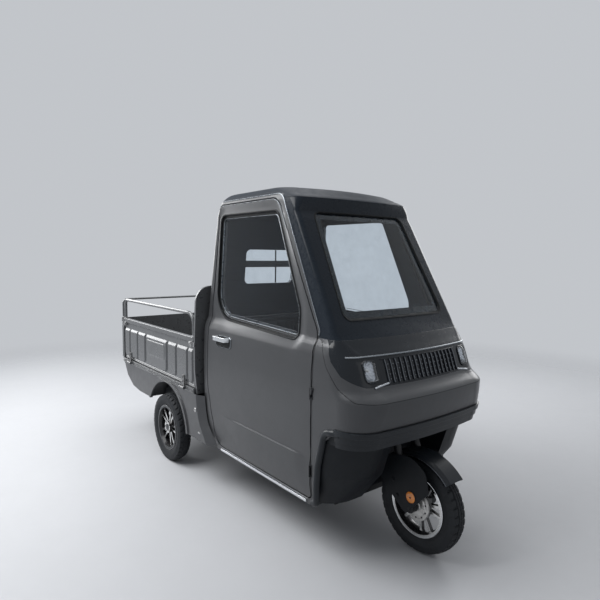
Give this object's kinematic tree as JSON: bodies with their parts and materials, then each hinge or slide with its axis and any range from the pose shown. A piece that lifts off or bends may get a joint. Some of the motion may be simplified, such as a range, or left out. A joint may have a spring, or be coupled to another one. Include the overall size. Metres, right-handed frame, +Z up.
{
  "type": "three wheeled car",
  "caption": "Enclosed three-wheeled light cargo vehicle with one steered front wheel, a closed two-door cab and an open load bed with drop-down gates behind.",
  "frame": {"origin": "on the ground under the centre of the overall box", "axes": "+X forward, +Y to the vehicle's left, +Z up"},
  "size_m": [3.1799, 1.174, 1.956],
  "materials": {
    "body_paint": "satin",
    "bed_paint": "satin",
    "roof_paint": "gloss",
    "black_panel": "gloss",
    "black_plastic": "matte",
    "bumper_plastic": "satin",
    "window_glass": "clear",
    "lamp_glass": "clear lens",
    "tail_lamp_glass": "clear lens",
    "bright_trim": "polished",
    "handle_metal": "brushed",
    "frame_paint": "satin",
    "floor_mat": "matte",
    "seat_cover": "grained",
    "case_paint": "satin",
    "wheel_metal": "machined",
    "tyre_rubber": "matte",
    "fork_paint": "satin",
    "spring_steel": "dull",
    "dash_plastic": "grained"
  },
  "bodies": {
    "chassis": {"side_frame_right": "body_paint", "side_frame_left": "body_paint", "rear_wall": "body_paint", "rear_window": "window_glass", "roof": "roof_paint", "screen_frame": "black_panel", "windscreen": "window_glass", "headlamps": "lamp_glass", "cowl_panel": "black_panel", "nose_band": "body_paint", "front_shell": "body_paint", "bumper": "bumper_plastic", "side_mouldings": "bumper_plastic", "sill_trims": "bright_trim", "footwell_tub": "body_paint", "chassis_frame": "frame_paint", "cab_floor": "floor_mat", "battery_case": "case_paint", "seat_cushion": "seat_cover", "seat_back": "seat_cover", "dashboard": "dash_plastic", "bed_floor": "bed_paint", "headboard": "bed_paint", "skirt_right": "body_paint", "skirt_left": "body_paint", "lamp_bar": "frame_paint", "tail_lamps": "tail_lamp_glass", "rear_axle": "spring_steel", "leaf_springs": "spring_steel"},
    "steering": {"fork": "fork_paint", "handlebar": "fork_paint", "instrument_pod": "dash_plastic", "front_fender": "body_paint", "fork_covers": "black_plastic"},
    "front_wheel": {"front_rim": "wheel_metal", "front_tyre": "tyre_rubber"},
    "rear_wheel_right": {"rear_rim_right": "wheel_metal", "rear_tyre_right": "tyre_rubber"},
    "rear_wheel_left": {"rear_rim_left": "wheel_metal", "rear_tyre_left": "tyre_rubber"},
    "door_right_body": {"door_right": "body_paint", "door_glass_right": "window_glass", "door_handle_right": "handle_metal"},
    "door_left_body": {"door_left": "body_paint", "door_glass_left": "window_glass", "door_handle_left": "handle_metal"},
    "side_gate_right_body": {"side_gate_right": "bed_paint"},
    "side_gate_left_body": {"side_gate_left": "bed_paint"},
    "tailgate_body": {"tailgate": "bed_paint"}
  },
  "joints": [
    {"name": "steer", "type": "hinge", "parent": "chassis", "child": "steering", "pos_m": [1.30808, 0, 0.25], "axis": [-0.342, 0, 0.9397], "range_deg": [-35, 35]},
    {"name": "front_wheel_spin", "type": "hinge", "parent": "steering", "child": "front_wheel", "pos_m": [1.34, 0, 0.25], "axis": [0, 1, 0], "continuous": true},
    {"name": "rear_wheel_right_spin", "type": "hinge", "parent": "chassis", "child": "rear_wheel_right", "pos_m": [-0.605, -0.53, 0.25], "axis": [0, 1, 0], "continuous": true},
    {"name": "rear_wheel_left_spin", "type": "hinge", "parent": "chassis", "child": "rear_wheel_left", "pos_m": [-0.605, 0.53, 0.25], "axis": [0, 1, 0], "continuous": true},
    {"name": "door_right_hinge", "type": "hinge", "parent": "chassis", "child": "door_right_body", "pos_m": [1.047, -0.522, 0.9], "axis": [0, 0, 1], "range_deg": [0, 68]},
    {"name": "door_left_hinge", "type": "hinge", "parent": "chassis", "child": "door_left_body", "pos_m": [1.047, 0.522, 0.9], "axis": [0, 0, -1], "range_deg": [0, 68]},
    {"name": "side_gate_right_hinge", "type": "hinge", "parent": "chassis", "child": "side_gate_right_body", "pos_m": [-0.84, -0.578, 0.618], "axis": [1, 0, 0], "range_deg": [0, 180]},
    {"name": "side_gate_left_hinge", "type": "hinge", "parent": "chassis", "child": "side_gate_left_body", "pos_m": [-0.84, 0.578, 0.618], "axis": [-1, 0, 0], "range_deg": [0, 180]},
    {"name": "tailgate_hinge", "type": "hinge", "parent": "chassis", "child": "tailgate_body", "pos_m": [-1.581, 0, 0.618], "axis": [0, -1, 0], "range_deg": [0, 180]}
  ]
}
